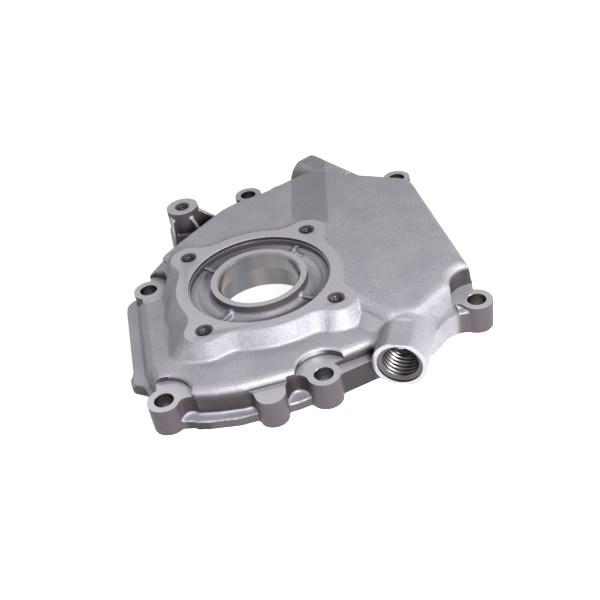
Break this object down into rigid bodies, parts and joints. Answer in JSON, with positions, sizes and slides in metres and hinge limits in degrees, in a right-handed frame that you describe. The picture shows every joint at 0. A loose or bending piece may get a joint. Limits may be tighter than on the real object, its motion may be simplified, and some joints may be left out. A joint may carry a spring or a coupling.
{
  "type": "crankcase cover",
  "caption": "Bare aluminium crankcase cover of a small engine: drive pedestal with annular recess, crank bearing bore, threaded oil ports and a spotfaced bolt flange.",
  "frame": {"origin": "crank axis on the drive face, the centre of its bolt pattern", "axes": "+Z out of the drive face along the crank axis, +X towards the sump end, +Y towards the rear oil port; the gasket face looks down"},
  "size_m": [0.1815, 0.2026, 0.029],
  "materials": {
    "cast_aluminium": "satin"
  },
  "bodies": {
    "root": {"cover_casting": "cast_aluminium"}
  },
  "joints": []
}
